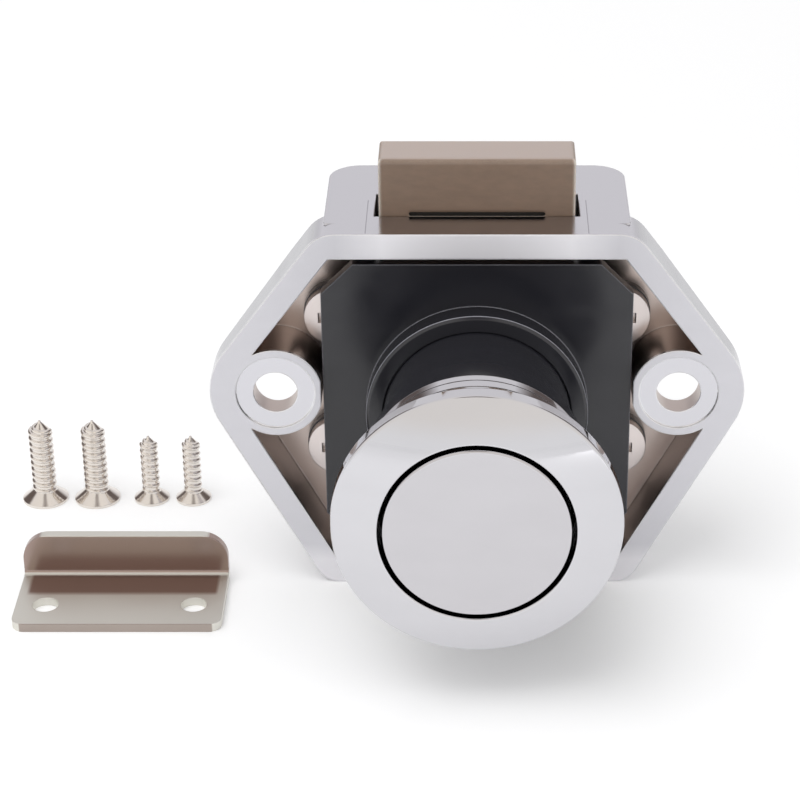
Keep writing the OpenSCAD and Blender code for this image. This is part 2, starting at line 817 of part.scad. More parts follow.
module button_spring() {
    steps = 14;
    low = bore_end + spring_wire_d / 2 + 0.05;
    high = cover_front - spring_wire_d / 2 - 0.05;
    count = spring_turns * steps;
    color("gainsboro")
    translate([0, 0, axis_z])
        swept([for (i = [0:count])
            [spring_r * cos(360 * i / steps), low + (high - low) * i / count,
                spring_r * sin(360 * i / steps)]], spring_wire_d / 2, 6);
}

module catch_wire() {
    r = wire_d / 2;
    color("gainsboro") {
        translate([0, tip_y, wire_z])
            rotate([-90, 0, 0])
                cylinder(h = leg_y - tip_y, r = r);
        translate([0, tip_y, wire_z])
            sphere(r);
        translate([0, leg_y, wire_z])
            sphere(r);
        translate([0, tip_y, wire_z])
            cylinder(h = carriage_bottom + track_depth - 0.3 - wire_z, r = r);
        translate([0, leg_y, leg_bottom])
            cylinder(h = wire_z - leg_bottom, r = r);
    }
}

module strike_plate() {
    x0 = strike_at[0] - strike_w / 2;
    y0 = strike_at[1];
    y1 = y0 + strike_foot;
    bend = 0.6;
    color("silver")
    difference() {
        union() {
            translate([0, 0, floor_z])
                linear_extrude(strike_t)
                    rounded([
                        [x0, y0], [x0 + strike_w, y0],
                        [x0 + strike_w, y1 - strike_t], [x0, y1 - strike_t]
                    ], [1.4, 1.4, 0.1, 0.1]);
            translate([x0, y1 - strike_t - bend, floor_z + strike_t + bend])
                rotate([0, 90, 0])
                    linear_extrude(strike_w)
                        difference() {
                            translate([0, 0])
                                circle(strike_t + bend);
                            circle(bend);
                            translate([-strike_t - bend - eps, -strike_t - bend - eps])
                                square([strike_t + bend + eps, 2 * (strike_t + bend + eps)]);
                            translate([-eps, -strike_t - bend - eps])
                                square([strike_t + bend + 2 * eps, strike_t + bend + eps]);
                        }
            slab(y1 - strike_t, y1)
                rounded([
                    [x0, floor_z + strike_t + bend], [x0 + strike_w, floor_z + strike_t + bend],
                    [x0 + strike_w, floor_z + strike_tab], [x0, floor_z + strike_tab]
                ], [0.1, 0.1, strike_tab_r, strike_tab_r]);
        }
        for (side = [-1, 1])
            translate([strike_at[0] + side * strike_spacing / 2, y0 + strike_hole_y, floor_z - eps])
                cylinder(h = strike_t + 2 * eps, r = strike_hole_d / 2);
        block(
            [x0 - eps, y1 - strike_t - bend, floor_z - eps],
            [x0 + strike_w + eps, y1 + eps, floor_z]
        );
    }
}

// Countersunk wood screw standing on its head
module wood_screw(at, d, head_d, len) {
    head_h = (head_d - d) / 2 + 0.3;
    tip = 1.4 * d;
    color("gainsboro")
    translate([at[0], at[1], floor_z])
        difference() {
            rotate_extrude()
                polygon([
                    [0, 0], [head_d / 2, 0], [head_d / 2, 0.3], [d / 2 * 0.8, head_h],
                    [d / 2 * 0.8, len - tip], [0.15, len], [0, len]
                ]);
            rotate([180, 0, 0])
                cross_recess(head_d / 2, head_h * 0.6);
        }
}

case();
rear_cover();
mechanism_body();
front_cover();
guide_tube();
body_screw(-1, 1);  // body_screw_1
body_screw(1, 1);  // body_screw_2
body_screw(-1, -1);  // body_screw_3
body_screw(1, -1);  // body_screw_4
cover_screw(-1);  // cover_screw_1
cover_screw(1);  // cover_screw_2
rosette_ring();
rosette_collar();
button_cap();
button_core();
core_screw();
cam_carriage();
bolt();
follower_pin(-1);  // follower_pin_left
follower_pin(1);  // follower_pin_right
button_spring();
catch_wire();
strike_plate();
union() {  // case_screw_1
    wood_screw(case_screw_at[0], case_screw_d, case_screw_head_d, case_screw_len);
}
union() {  // case_screw_2
    wood_screw(case_screw_at[1], case_screw_d, case_screw_head_d, case_screw_len);
}
union() {  // strike_screw_1
    wood_screw(strike_screw_at[0], strike_screw_d, strike_screw_head_d, strike_screw_len);
}
union() {  // strike_screw_2
    wood_screw(strike_screw_at[1], strike_screw_d, strike_screw_head_d, strike_screw_len);
}
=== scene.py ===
"""Looks of a push button cabinet lock with its strike plate and screws.

Lengths are in metres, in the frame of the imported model: X along the flange,
-Y towards the button, Z the way the bolt moves. The button's axis lies a
little under the two ear holes.
"""

import math

import bmesh
import bpy
from bpy.props import FloatProperty, FloatVectorProperty, IntProperty, PointerProperty
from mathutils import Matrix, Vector


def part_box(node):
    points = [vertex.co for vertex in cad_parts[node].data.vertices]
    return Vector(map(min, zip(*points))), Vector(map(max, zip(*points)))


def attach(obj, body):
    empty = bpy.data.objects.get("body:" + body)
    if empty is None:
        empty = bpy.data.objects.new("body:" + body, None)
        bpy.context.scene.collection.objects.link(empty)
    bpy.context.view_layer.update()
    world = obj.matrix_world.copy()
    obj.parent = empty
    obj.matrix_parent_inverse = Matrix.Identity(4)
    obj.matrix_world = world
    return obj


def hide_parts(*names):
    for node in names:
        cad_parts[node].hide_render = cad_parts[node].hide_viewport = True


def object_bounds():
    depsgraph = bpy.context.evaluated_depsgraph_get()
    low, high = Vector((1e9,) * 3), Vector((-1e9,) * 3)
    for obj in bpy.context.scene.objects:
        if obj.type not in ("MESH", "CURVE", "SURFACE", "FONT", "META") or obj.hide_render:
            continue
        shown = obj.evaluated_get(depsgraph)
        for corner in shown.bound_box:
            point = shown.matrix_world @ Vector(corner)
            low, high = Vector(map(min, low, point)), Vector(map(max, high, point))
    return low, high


bl_info = {
    "name": "Push button cabinet lock",
    "version": (1, 0, 0),
    "blender": (4, 5, 0),
    "location": "3D Viewport > Sidebar > Lock",
    "description": "Dresses a packed cabinet lock with plating, plastics and threads",
    "category": "Object",
}

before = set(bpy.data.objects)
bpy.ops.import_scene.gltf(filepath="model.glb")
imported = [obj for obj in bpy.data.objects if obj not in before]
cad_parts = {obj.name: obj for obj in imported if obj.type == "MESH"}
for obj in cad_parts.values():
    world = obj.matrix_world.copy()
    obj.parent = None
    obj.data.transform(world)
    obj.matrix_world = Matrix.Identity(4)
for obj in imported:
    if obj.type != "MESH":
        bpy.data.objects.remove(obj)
cad_box = [list(corner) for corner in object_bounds()]

MM = 0.001


def middle(node):
    """Middle of a node's box at rest."""
    low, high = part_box(node)
    return (Vector(low) + Vector(high)) / 2


def reach(node):
    """How far a node's front and rear ends lie in front of the flange."""
    low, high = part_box(node)
    return -low[1], -high[1]


def half_width(node):
    """Half of a node's width at rest, the radius of a turned piece."""
    low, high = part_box(node)
    return (high[0] - low[0]) / 2


BUTTON_AXIS_Z = middle("button_cap").z


# --------------------------------------------------------------------------
# Sizes and colours that a user may change
# --------------------------------------------------------------------------


def length(name, description, default, high=0.05):
    return FloatProperty(
        name=name, description=description, default=default, min=0.0, max=high,
        subtype="DISTANCE", unit="LENGTH", precision=5,
    )


def colour(name, description, default):
    return FloatVectorProperty(
        name=name, description=description, default=default, size=3,
        min=0.0, max=1.0, subtype="COLOR",
    )


class CaseSettings(bpy.types.PropertyGroup):
    """Plating of the case and gloss of the black mouldings."""

    edge_radius: length("Edge radius", "Radius that softens the casting's edges", 0.22 * MM)
    plating: colour("Plating", "Colour of the chrome plating on the case", (0.66, 0.655, 0.69))
    tray: colour("Tray", "Colour of the thin plating in the tray", (0.53, 0.455, 0.42))
    black: colour("Black moulding", "Colour of the black mouldings", (0.018, 0.018, 0.023))
    moulding_edge: length("Moulding edge", "Radius on the black mouldings' edges", 0.2 * MM)


class ButtonSettings(bpy.types.PropertyGroup):
    """Shape and finish of the button and its rosette."""

    plating: colour("Plating", "Colour of the polished plating", (0.65, 0.645, 0.67))
    cap: colour("Cap", "Colour of the plating on the button's cap", (0.59, 0.578, 0.60))
    edge_radius: length("Edge radius", "Rounding of the turned edges", 0.3 * MM, 0.002)
    dome: length("Dome", "Height of the dome on the button's face", 0.4 * MM, 0.002)
    ring_bore: length("Ring bore", "Radius of the ring's bore", 10.0 * MM)
    ring_fall: length("Ring fall", "Fall of the ring's face to its rim", 1.6 * MM, 0.005)
    ring_rim: length("Ring rim", "Thickness of the ring at its rim", 1.8 * MM, 0.005)
    steps: IntProperty(
        name="Steps", description="Steps round each turned piece", default=192, min=48, max=512
    )


class BoltSettings(bpy.types.PropertyGroup):
    """Nylon of the bolt."""

    nylon: colour("Nylon", "Colour of the bolt's nylon", (0.24, 0.163, 0.115))
    # The end's colour is partly rubbed nylon and partly painted light from above
    rubbed_and_lit: colour("Rubbed nylon", "Colour of the nylon on the bolt's end", (0.42, 0.345, 0.31))
    edge_radius: length("Edge radius", "Radius that softens the bolt's edges", 0.6 * MM)


class KitSettings(bpy.types.PropertyGroup):
    """Strike plate, screws and spring."""

    nickel: colour("Nickel", "Colour of the screws' nickel plating", (0.80, 0.75, 0.70))
    sheet: colour("Sheet", "Colour of the strike plate's plating", (0.78, 0.765, 0.71))
    # Painted shade of the forward-facing tab, and its painted reflection on the foot near the bend
    tab_shade_and_reflection: colour("Dark sheet", "Colour of the strike plate's dull tab", (0.37, 0.285, 0.255))
    screw_metal: colour("Screw metal", "Colour of the body screws", (0.72, 0.655, 0.635))
    case_pitch: length("Case screw pitch", "Pitch of the larger threads", 0.82 * MM, 0.004)
    strike_pitch: length("Strike screw pitch", "Pitch of the smaller threads", 0.84 * MM, 0.004)
    ridge: length("Ridge", "Radius of the threads' round ridge", 0.26 * MM, 0.001)


class StageSettings(bpy.types.PropertyGroup):
    """Camera, light and floor."""

    paper: colour("Paper", "Colour of the floor", (0.94, 0.94, 0.945))
    key_power: FloatProperty(
        name="Key power", description="Power of the soft light from above", default=1.0,
        min=0.0, max=50.0, unit="POWER",
    )
    sky: FloatProperty(
        name="Sky", description="Strength of the light from all round", default=0.62,
        min=0.0, max=2.0, subtype="FACTOR",
    )
    lift: FloatProperty(
        name="Lift", description="White added to the floor where it is looked at", default=0.12,
        min=0.0, max=1.0, subtype="FACTOR",
    )
    far_lift: FloatProperty(
        name="Far lift", description="White added to the floor away from the lock", default=0.42,
        min=0.0, max=1.0, subtype="FACTOR",
    )
    lens: FloatProperty(
        name="Lens", description="Focal length of the camera", default=112.5,
        min=20.0, max=300.0, unit="CAMERA",
    )


# --------------------------------------------------------------------------
# Meshes
# --------------------------------------------------------------------------


def new_object(name, mesh):
    obj = bpy.data.objects.new(name, mesh)
    bpy.context.scene.collection.objects.link(obj)
    return obj


def smooth_by_angle(mesh, degrees):
    mesh.shade_smooth()
    mesh.set_sharp_from_angle(angle=math.radians(degrees))


def copy_of_node(node, name):
    """Copy of a CAD node's mesh, with the true normals of its surfaces."""
    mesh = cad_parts[node].data.copy()
    mesh.name = name
    mesh.materials.clear()
    return new_object(name, mesh)


def coat_nodes(material, *nodes):
    """Gives CAD nodes whose shape is right a better material."""
    for node in nodes:
        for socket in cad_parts[node].material_slots:
            socket.material = material


def arc(centre, radius, start, stop, steps):
    """Points of an arc in radius and reach, with angles in degrees."""
    return [
        (
            centre[0] + radius * math.cos(math.radians(start + (stop - start) * i / steps)),
            centre[1] + radius * math.sin(math.radians(start + (stop - start) * i / steps)),
        )
        for i in range(steps + 1)
    ]


def held(profile, closed):
    """Adds points close to the ends of long straight stretches, so that they shade flat."""
    ends = list(zip(profile, profile[1:] + profile[:1]))
    points = []
    for one, two in ends if closed else ends[:-1]:
        points.append(one)
        span = math.dist(one, two)
        if span > 0.4 * MM:
            for share in (0.03 * MM / span, 1 - 0.03 * MM / span):
                points.append(tuple(a + share * (b - a) for a, b in zip(one, two)))
    return points if closed else points + [profile[-1]]


def turned(name, profile, steps, closed, degrees=38):
    """Piece turned about the button's axis from points of radius and reach."""
    work = bmesh.new()
    rings = []
    for radius, out in held(profile, closed):
        if radius < 1e-7:
            rings.append([work.verts.new((0, -out, BUTTON_AXIS_Z))])
            continue
        rings.append([
            work.verts.new((
                radius * math.cos(math.tau * i / steps),
                -out,
                BUTTON_AXIS_Z + radius * math.sin(math.tau * i / steps),
            ))
            for i in range(steps)
        ])
    pairs = list(zip(rings, rings[1:]))
    if closed:
        pairs.append((rings[-1], rings[0]))
    for one, two in pairs:
        for i in range(steps):
            k = (i + 1) % steps
            corners = [one[i % len(one)], one[k % len(one)], two[k % len(two)], two[i % len(two)]]
            corners = list(dict.fromkeys(corners))
            if len(corners) > 2:
                work.faces.new(corners)
    bmesh.ops.remove_doubles(work, verts=work.verts, dist=1e-7)
    bmesh.ops.recalc_face_normals(work, faces=work.faces)
    mesh = bpy.data.meshes.new(name)
    work.to_mesh(mesh)
    work.free()
    smooth_by_angle(mesh, degrees)
    return new_object(name, mesh)


def hand_over(obj, material, body, slot, *nodes):
    """Gives a piece its material and body, and hides the nodes it stands for. Slot is not used."""
    obj.data.materials.clear()
    obj.data.materials.append(material)
    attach(obj, body)
    if nodes:
        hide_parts(*nodes)


# --------------------------------------------------------------------------
# Nodes
# --------------------------------------------------------------------------


def feed(tree, value, socket):
    """Gives an input a socket to follow, or else a number, a vector or a colour."""
    if isinstance(value, bpy.types.NodeSocket):
        tree.links.new(value, socket)
    elif socket.type == "RGBA":
        socket.default_value = (*value, 1.0)
    else:
        socket.default_value = value


def added(tree, kind, **inputs):
    """New node, with its inputs given as values or as sockets to follow."""
    node = tree.nodes.new(kind)
    for label, value in inputs.items():
        feed(tree, value, node.inputs[label.replace("_", " ")])
    return node


def maths(tree, operation, *values):
    node = tree.nodes.new("ShaderNodeMath")
    node.operation = operation
    for value, socket in zip(values, node.inputs):
        feed(tree, value, socket)
    return node.outputs[0]


def dot(tree, one, two):
    node = tree.nodes.new("ShaderNodeVectorMath")
    node.operation = "DOT_PRODUCT"
    feed(tree, one, node.inputs[0])
    feed(tree, two, node.inputs[1])
    return node.outputs["Value"]


def clamped(tree, value):
    return added(tree, "ShaderNodeClamp", Value=value).outputs["Result"]


def ramp(tree, value, **ends):
    """A value's way between two ends, mapped to two other ends."""
    return added(tree, "ShaderNodeMapRange", Value=value, **ends).outputs["Result"]


def blend(tree, factor, one, two, kind="RGBA"):
    """Mix of two colours, or of two numbers where kind is FLOAT."""
    node = tree.nodes.new("ShaderNodeMix")
    node.data_type = kind
    tree.links.new(factor, node.inputs["Factor"])
    ends = [socket for socket in node.inputs if socket.enabled and socket.name in "AB"]
    for value, socket in zip((one, two), ends):
        feed(tree, value, socket)
    return next(socket for socket in node.outputs if socket.enabled)


def folded(tree, coordinates):
    """Parts of texture coordinates, and their vector with the same X on both sides."""
    place = tree.nodes.new("ShaderNodeTexCoord").outputs[coordinates]
    parts = added(tree, "ShaderNodeSeparateXYZ", Vector=place).outputs
    fold = added(
        tree, "ShaderNodeCombineXYZ",
        X=maths(tree, "ABSOLUTE", parts["X"]), Y=parts["Y"], Z=parts["Z"],
    )
    return parts, fold.outputs["Vector"]


def noise(tree, scale, detail=2.0, stretch=None):
    """Noise on Object coordinates."""
    place = tree.nodes.new("ShaderNodeTexCoord").outputs["Object"]
    if stretch:
        place = added(tree, "ShaderNodeMapping", Vector=place, Scale=stretch).outputs["Vector"]
    return added(
        tree, "ShaderNodeTexNoise", Vector=place, Scale=scale, Detail=detail
    ).outputs["Fac"]


def node_group(name, kind, inputs, outputs):
    """New node group, with what it is given and what it results in."""
    tree = bpy.data.node_groups.new(name, kind)
    for label, sort, value in inputs:
        socket = tree.interface.new_socket(label, in_out="INPUT", socket_type="NodeSocket" + sort)
        if value is not None:
            socket.default_value = value
    for label, sort in outputs:
        tree.interface.new_socket(label, in_out="OUTPUT", socket_type="NodeSocket" + sort)
    given = tree.nodes.new("NodeGroupInput").outputs
    return tree, given, tree.nodes.new("NodeGroupOutput").inputs


def placed(tree, group, **values):
    """Outputs of a group placed in a material, with the group's inputs set."""
    node = tree.nodes.new("ShaderNodeGroup")
    node.node_tree = group
    for label, value in values.items():
        feed(tree, value, node.inputs[label.replace("_", " ")])
    return node.outputs


# --------------------------------------------------------------------------
# Shader groups
# --------------------------------------------------------------------------

BEVEL_SAMPLES = 6
# How fast an edge takes its painted highlight as its rounding turns away from the face
EDGE_GAIN = 6.0
# Smears run across the height, and change the roughness between two strengths
SMEAR_DETAIL = 4.0
SMEAR_STRETCH = (1.0, 1.0, 2.4)
SMEAR_SPAN = (0.35, 0.7)


def edge_rounding_group():
    """Rounds edges in the light, and masks them for a painted highlight, over a fine surface
    ripple.
    """
    name = "Rounded edges and ripple"
    if name in bpy.data.node_groups:
        return bpy.data.node_groups[name]
    tree, given, result = node_group(
        name, "ShaderNodeTree",
        [
            ("Radius", "Float", 0.0002),
            ("Ripple Scale", "Float", 400.0),
            ("Ripple Height", "Float", 1e-6),
        ],
        [("Normal", "Vector"), ("Edge", "Float")],
    )
    bevel = added(tree, "ShaderNodeBevel", Radius=given["Radius"])
    bevel.samples = BEVEL_SAMPLES
    bump = added(
        tree, "ShaderNodeBump", Strength=1.0, Distance=given["Ripple Height"],
        Height=noise(tree, given["Ripple Scale"]), Normal=bevel.outputs["Normal"],
    )
    tree.links.new(bump.outputs["Normal"], result["Normal"])
    shape = tree.nodes.new("ShaderNodeNewGeometry")
    facing = dot(tree, shape.outputs["Normal"], bevel.outputs["Normal"])
    edge = maths(tree, "MULTIPLY", maths(tree, "SUBTRACT", 1.0, facing), EDGE_GAIN)
    tree.links.new(clamped(tree, edge), result["Edge"])
    return tree


def handling_group():
    """Faint smears and spots that vary roughness and shade."""
    name = "Handling marks"
    if name in bpy.data.node_groups:
        return bpy.data.node_groups[name]
    tree, given, result = node_group(
        name, "ShaderNodeTree",
        [("Low", "Float", 0.05), ("High", "Float", 0.12), ("Scale", "Float", 120.0)],
        [("Roughness", "Float"), ("Shade", "Float")],
    )
    smear = noise(tree, given["Scale"], SMEAR_DETAIL, SMEAR_STRETCH)
    start, end = SMEAR_SPAN
    rough = ramp(
        tree, smear, From_Min=start, From_Max=end, To_Min=given["Low"], To_Max=given["High"]
    )
    tree.links.new(rough, result["Roughness"])
    tree.links.new(smear, result["Shade"])
    return tree


def past_plane_group():
    """Mask that sets in past a plane and its mirror image across the middle."""
    name = "Past a plane"
    if name in bpy.data.node_groups:
        return bpy.data.node_groups[name]
    tree, given, result = node_group(
        name, "ShaderNodeTree",
        [
            ("Direction", "Vector", (0.0, 0.0, 1.0)),
            ("Start", "Float", 0.0),
            ("Soft", "Float", 0.0001),
        ],
        [("Mask", "Float")],
    )
    _, place = folded(tree, "Object")
    past = maths(tree, "SUBTRACT", dot(tree, place, given["Direction"]), given["Start"])
    tree.links.new(clamped(tree, maths(tree, "DIVIDE", past, given["Soft"])), result["Mask"])
    return tree


def region(tree, *planes):
    """Mask of the space past every plane, each a direction, a start and a softness."""
    mask = None
    for direction, start, soft in planes:
        past = placed(tree, past_plane_group(), Direction=direction, Start=start, Soft=soft)
        mask = past["Mask"] if mask is None else maths(tree, "MULTIPLY", mask, past["Mask"])
    return mask


def recolour(material, tint, rough, *planes):
    """Gives the part of a material past the planes another colour, roughness or both."""
    tree = material.node_tree
    mask = region(tree, *planes)
    for label, kind, value in (("Base Color", "RGBA", tint), ("Roughness", "FLOAT", rough)):
        if value is not None:
            socket = tree.nodes["Principled BSDF"].inputs[label]
            plain = socket.links[0].from_socket
            tree.links.new(blend(tree, mask, plain, value, kind), socket)


# --------------------------------------------------------------------------
# Materials
# --------------------------------------------------------------------------

# Directions of the planes round a recoloured region; X counts the same on both sides
OUTWARD, INWARD = (1.0, 0.0, 0.0), (-1.0, 0.0, 0.0)
REARWARD, FORWARD = (0.0, 1.0, 0.0), (0.0, -1.0, 0.0)
UPWARD, DOWNWARD = (0.0, 0.0, 1.0), (0.0, 0.0, -1.0)
# Out through the flange's upper slopes, and in from its upper and its lower ones
OUT_OF_SLOPE = (0.8, 0.0, 0.6)
UNDER_SLOPE = (-0.8, 0.0, -0.6)
OVER_SLOPE = (-0.88, 0.0, 0.475)


def dimmed(tint, share):
    return tuple(share * part for part in tint)


def finish(
    name, base, metallic, low, high, radius, ripple, height,
    edge_highlight=None, marks=120.0, depth=0.93, highlight_strength=0.6,
):
    """Material with soft edges, a fine ripple and handling marks.

    The roughness lies between low and high. The edge colour and its strength paint a
    highlight on the rounded edges. Marks is the smears' scale, and depth their darkness.
    """
    if name in bpy.data.materials:
        return bpy.data.materials[name]
    material = bpy.data.materials.new(name)
    material.use_nodes = True
    tree = material.node_tree
    shader = tree.nodes["Principled BSDF"]
    shader.inputs["Metallic"].default_value = metallic
    edges = placed(
        tree, edge_rounding_group(), Radius=radius, Ripple_Scale=ripple, Ripple_Height=height
    )
    handled = placed(tree, handling_group(), Low=low, High=high, Scale=marks)
    tree.links.new(edges["Normal"], shader.inputs["Normal"])
    tree.links.new(handled["Roughness"], shader.inputs["Roughness"])
    shade = blend(tree, handled["Shade"], dimmed(base, depth), base)
    # Painted highlight: the edge colour laid over the rounded edges
    if edge_highlight:
        shade = blend(tree, maths(tree, "MULTIPLY", edges["Edge"], highlight_strength), shade, edge_highlight)
    tree.links.new(shade, shader.inputs["Base Color"])
    return material


def case_plating(settings):
    """Satin chrome, browner, darker and duller in the tray."""
    chrome = finish(
        "Satin chrome plating", settings.plating, metallic=1.0, low=0.13, high=0.22,
        radius=settings.edge_radius, ripple=350.0, height=2.0e-6,
        # White on the rounded edges is a painted highlight
        edge_highlight=(1.0, 1.0, 1.0), highlight_strength=0.9,
    )
    # The front face, then its top rim between the corners and its bottom rim, both painted paler:
    # painted highlight
    face = (FORWARD, -0.1 * MM, 0.05 * MM)
    recolour(chrome, None, 0.42, face)
    recolour(
        chrome, (0.96, 0.955, 0.99), 0.5, face,
        (UPWARD, 15.8 * MM, 0.1 * MM), (INWARD, -15.0 * MM, 5.0 * MM),
    )
    recolour(chrome, (0.80, 0.79, 0.82), None, face, (DOWNWARD, 19.0 * MM, 2.0 * MM))
    # The box and the upper sides, painted a little darker and without the edge highlight, then the
    # slanted sides, painted much darker where they show at a flat angle: painted shade
    sides = (REARWARD, 0.3 * MM, 0.15 * MM)
    recolour(
        chrome, dimmed(settings.plating, 0.96), None, sides, (UPWARD, 1.5 * MM, 1.5 * MM)
    )
    recolour(
        chrome, dimmed(settings.plating, 0.63), None, (OUT_OF_SLOPE, 24.2 * MM, 0.5 * MM), sides
    )
    # Two fine seams on the top, beside the bolt's window
    behind = (REARWARD, 0.3 * MM, 0.1 * MM)
    recolour(
        chrome, (0.40, 0.395, 0.42), None,
        (OUTWARD, 11.72 * MM, 0.03 * MM), (INWARD, -11.86 * MM, 0.03 * MM),
        (UPWARD, 18.7 * MM, 0.01 * MM), behind, (FORWARD, -9.4 * MM, 0.1 * MM),
    )
    # The tray's walls and floor, in a browner, darker and rougher colour
    recolour(
        chrome, settings.tray, 0.3, behind, (FORWARD, -6.5 * MM, 0.1 * MM),
        (UNDER_SLOPE, -22.25 * MM, 0.05 * MM), (OVER_SLOPE, -24.55 * MM, 0.05 * MM),
        (DOWNWARD, -15.95 * MM, 0.05 * MM), (UPWARD, -21.15 * MM, 0.05 * MM),
    )
    return chrome


def button_plating(name, tint):
    return finish(
        name, tint, metallic=1.0, low=0.035, high=0.07,
        # The pale edge colour is a painted highlight on the rounded edges
        radius=0.05 * MM, ripple=250.0, height=4.0e-7, edge_highlight=(0.95, 0.95, 0.96),
    )


def black_moulding(settings):
    material = finish(
        "Black moulding", settings.black, metallic=0.0, low=0.16, high=0.26,
        radius=settings.moulding_edge, ripple=2200.0, height=1.2e-6,
        # The grey edge colour is a painted highlight on the rounded edges
        edge_highlight=(0.33, 0.33, 0.37), highlight_strength=0.8,
    )
    material.node_tree.nodes["Principled BSDF"].inputs["Specular IOR Level"].default_value = 0.6
    return material


def mark_sleeve(black, settings):
    """Leaves the sleeve's front edge without its painted edge highlight, and paints a fine
    highlight line behind its chamfer.
    """
    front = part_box("front_cover")[0][1]
    recolour(
        black, settings.black, None,
        (REARWARD, front - 0.1 * MM, 0.03 * MM), (FORWARD, -front - 0.17 * MM, 0.03 * MM),
    )
    # Painted highlight: a fine light line behind the chamfer
    recolour(
        black, (0.34, 0.34, 0.38), None,
        (REARWARD, front + 0.24 * MM, 0.04 * MM), (FORWARD, -front - 0.36 * MM, 0.04 * MM),
    )


def bolt_nylon(settings):
    material = finish(
        "Bolt nylon", settings.nylon, metallic=0.0, low=0.34, high=0.46,
        radius=settings.edge_radius, ripple=1500.0, height=3.0e-6,
        # The light edge colour is a painted highlight on the bolt's rounded edges
        edge_highlight=(0.92, 0.85, 0.77), marks=700.0, depth=0.72, highlight_strength=1.0,
    )
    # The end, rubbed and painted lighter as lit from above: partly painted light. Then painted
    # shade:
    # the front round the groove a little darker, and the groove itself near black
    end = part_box("bolt")[1][2] - 0.12 * MM
    recolour(material, settings.rubbed_and_lit, 0.4, (UPWARD, end, 0.1 * MM))
    recolour(
        material, dimmed(settings.nylon, 0.86), None,
        (FORWARD, -5.04 * MM, 0.01 * MM), (INWARD, -8.2 * MM, 0.4 * MM),
        (UPWARD, 18.2 * MM, 0.2 * MM), (DOWNWARD, -19.9 * MM, 0.3 * MM),
    )
    recolour(
        material, (0.02, 0.016, 0.013), 0.6,
        (REARWARD, 5.05 * MM, 0.05 * MM), (FORWARD, -5.7 * MM, 0.05 * MM),
        (INWARD, -7.35 * MM, 0.02 * MM),
        (UPWARD, 18.62 * MM, 0.02 * MM), (DOWNWARD, -19.28 * MM, 0.02 * MM),
    )
    shader = material.node_tree.nodes["Principled BSDF"]
    shader.inputs["Subsurface Weight"].default_value = 0.15
    shader.inputs["Subsurface Radius"].default_value = (0.6 * MM, 0.4 * MM, 0.25 * MM)
    shader.inputs["Subsurface Scale"].default_value = 1.0
    return material


def nickel(name, base, low, high):
    return finish(
        name, base, metallic=1.0, low=low, high=high,
        # The pale edge colour is a painted highlight on the rounded edges
        radius=0.12 * MM, ripple=900.0, height=1.2e-6, edge_highlight=(0.9, 0.88, 0.86),
    )


def strike_sheet(settings):
    """Nickel plated sheet, with painted shade on the tab, a painted reflection of the tab near the
    bend, and a darker front edge.
    """
    sheet = nickel("Nickel plated sheet", settings.sheet, 0.45, 0.55)
    low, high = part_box("strike_plate")
    # Painted shade: the tab, which faces forward, darker
    recolour(
        sheet, settings.tab_shade_and_reflection, 0.25,
        (UPWARD, low[2] + 1.2 * MM, 0.1 * MM), (DOWNWARD, 0.1 * MM - high[2], 0.1 * MM),
    )
    # Painted reflection of the dark tab on the foot near the bend
    recolour(
        sheet, settings.tab_shade_and_reflection, 0.3, (REARWARD, high[1] - 5.6 * MM, 0.8 * MM),
        (INWARD, -50.2 * MM, 0.4 * MM), (OUTWARD, 28.8 * MM, 0.4 * MM),
        (UPWARD, low[2] + 0.9 * MM, 0.05 * MM), (DOWNWARD, -low[2] - 1.1 * MM, 0.1 * MM),
    )
    recolour(sheet, (0.42, 0.365, 0.33), None, (FORWARD, -low[1] - 0.1 * MM, 0.04 * MM))
    return sheet


# --------------------------------------------------------------------------
# Geometry Nodes
# --------------------------------------------------------------------------

# Steps in each turn of a thread and of the spring, and sides of a wire and of a core
COIL_STEPS = 40
SPRING_STEPS = 32
WIRE_SIDES = 12
CORE_SIDES = 48
# Share of the point that the thread climbs, and of the core's radius where it ends
RUN_OUT = 0.45
TIP_RADIUS = 0.05 * MM


def wound(tree, profile, steps, turns, start, end, height):
    """Mesh of a round wire wound upwards into a coil."""
    spiral = added(
        tree, "GeometryNodeCurveSpiral", Resolution=steps, Rotations=turns,
        Start_Radius=start, End_Radius=end, Height=height,
    )
    skin = added(
        tree, "GeometryNodeCurveToMesh", Curve=spiral.outputs["Curve"],
        Profile_Curve=profile.outputs["Curve"], Fill_Caps=True,
    )
    return skin.outputs["Mesh"]


def moved(tree, mesh, offset, rotation=(0.0, 0.0, 0.0)):
    shift = added(
        tree, "GeometryNodeTransform", Geometry=mesh, Translation=offset, Rotation=rotation
    )
    return shift.outputs["Geometry"]


def smoothed(tree, mesh, selection=True):
    smooth = added(tree, "GeometryNodeSetShadeSmooth", Geometry=mesh, Selection=selection)
    return smooth.outputs["Geometry"]


def end_in_metal(tree, mesh, given, result):
    """Ends a tree with real geometry in the metal that it is given."""
    real = added(tree, "GeometryNodeRealizeInstances", Geometry=mesh)
    metal = added(
        tree, "GeometryNodeSetMaterial", Geometry=real.outputs["Geometry"],
        Material=given["Metal"],
    )
    tree.links.new(metal.outputs["Geometry"], result["Geometry"])


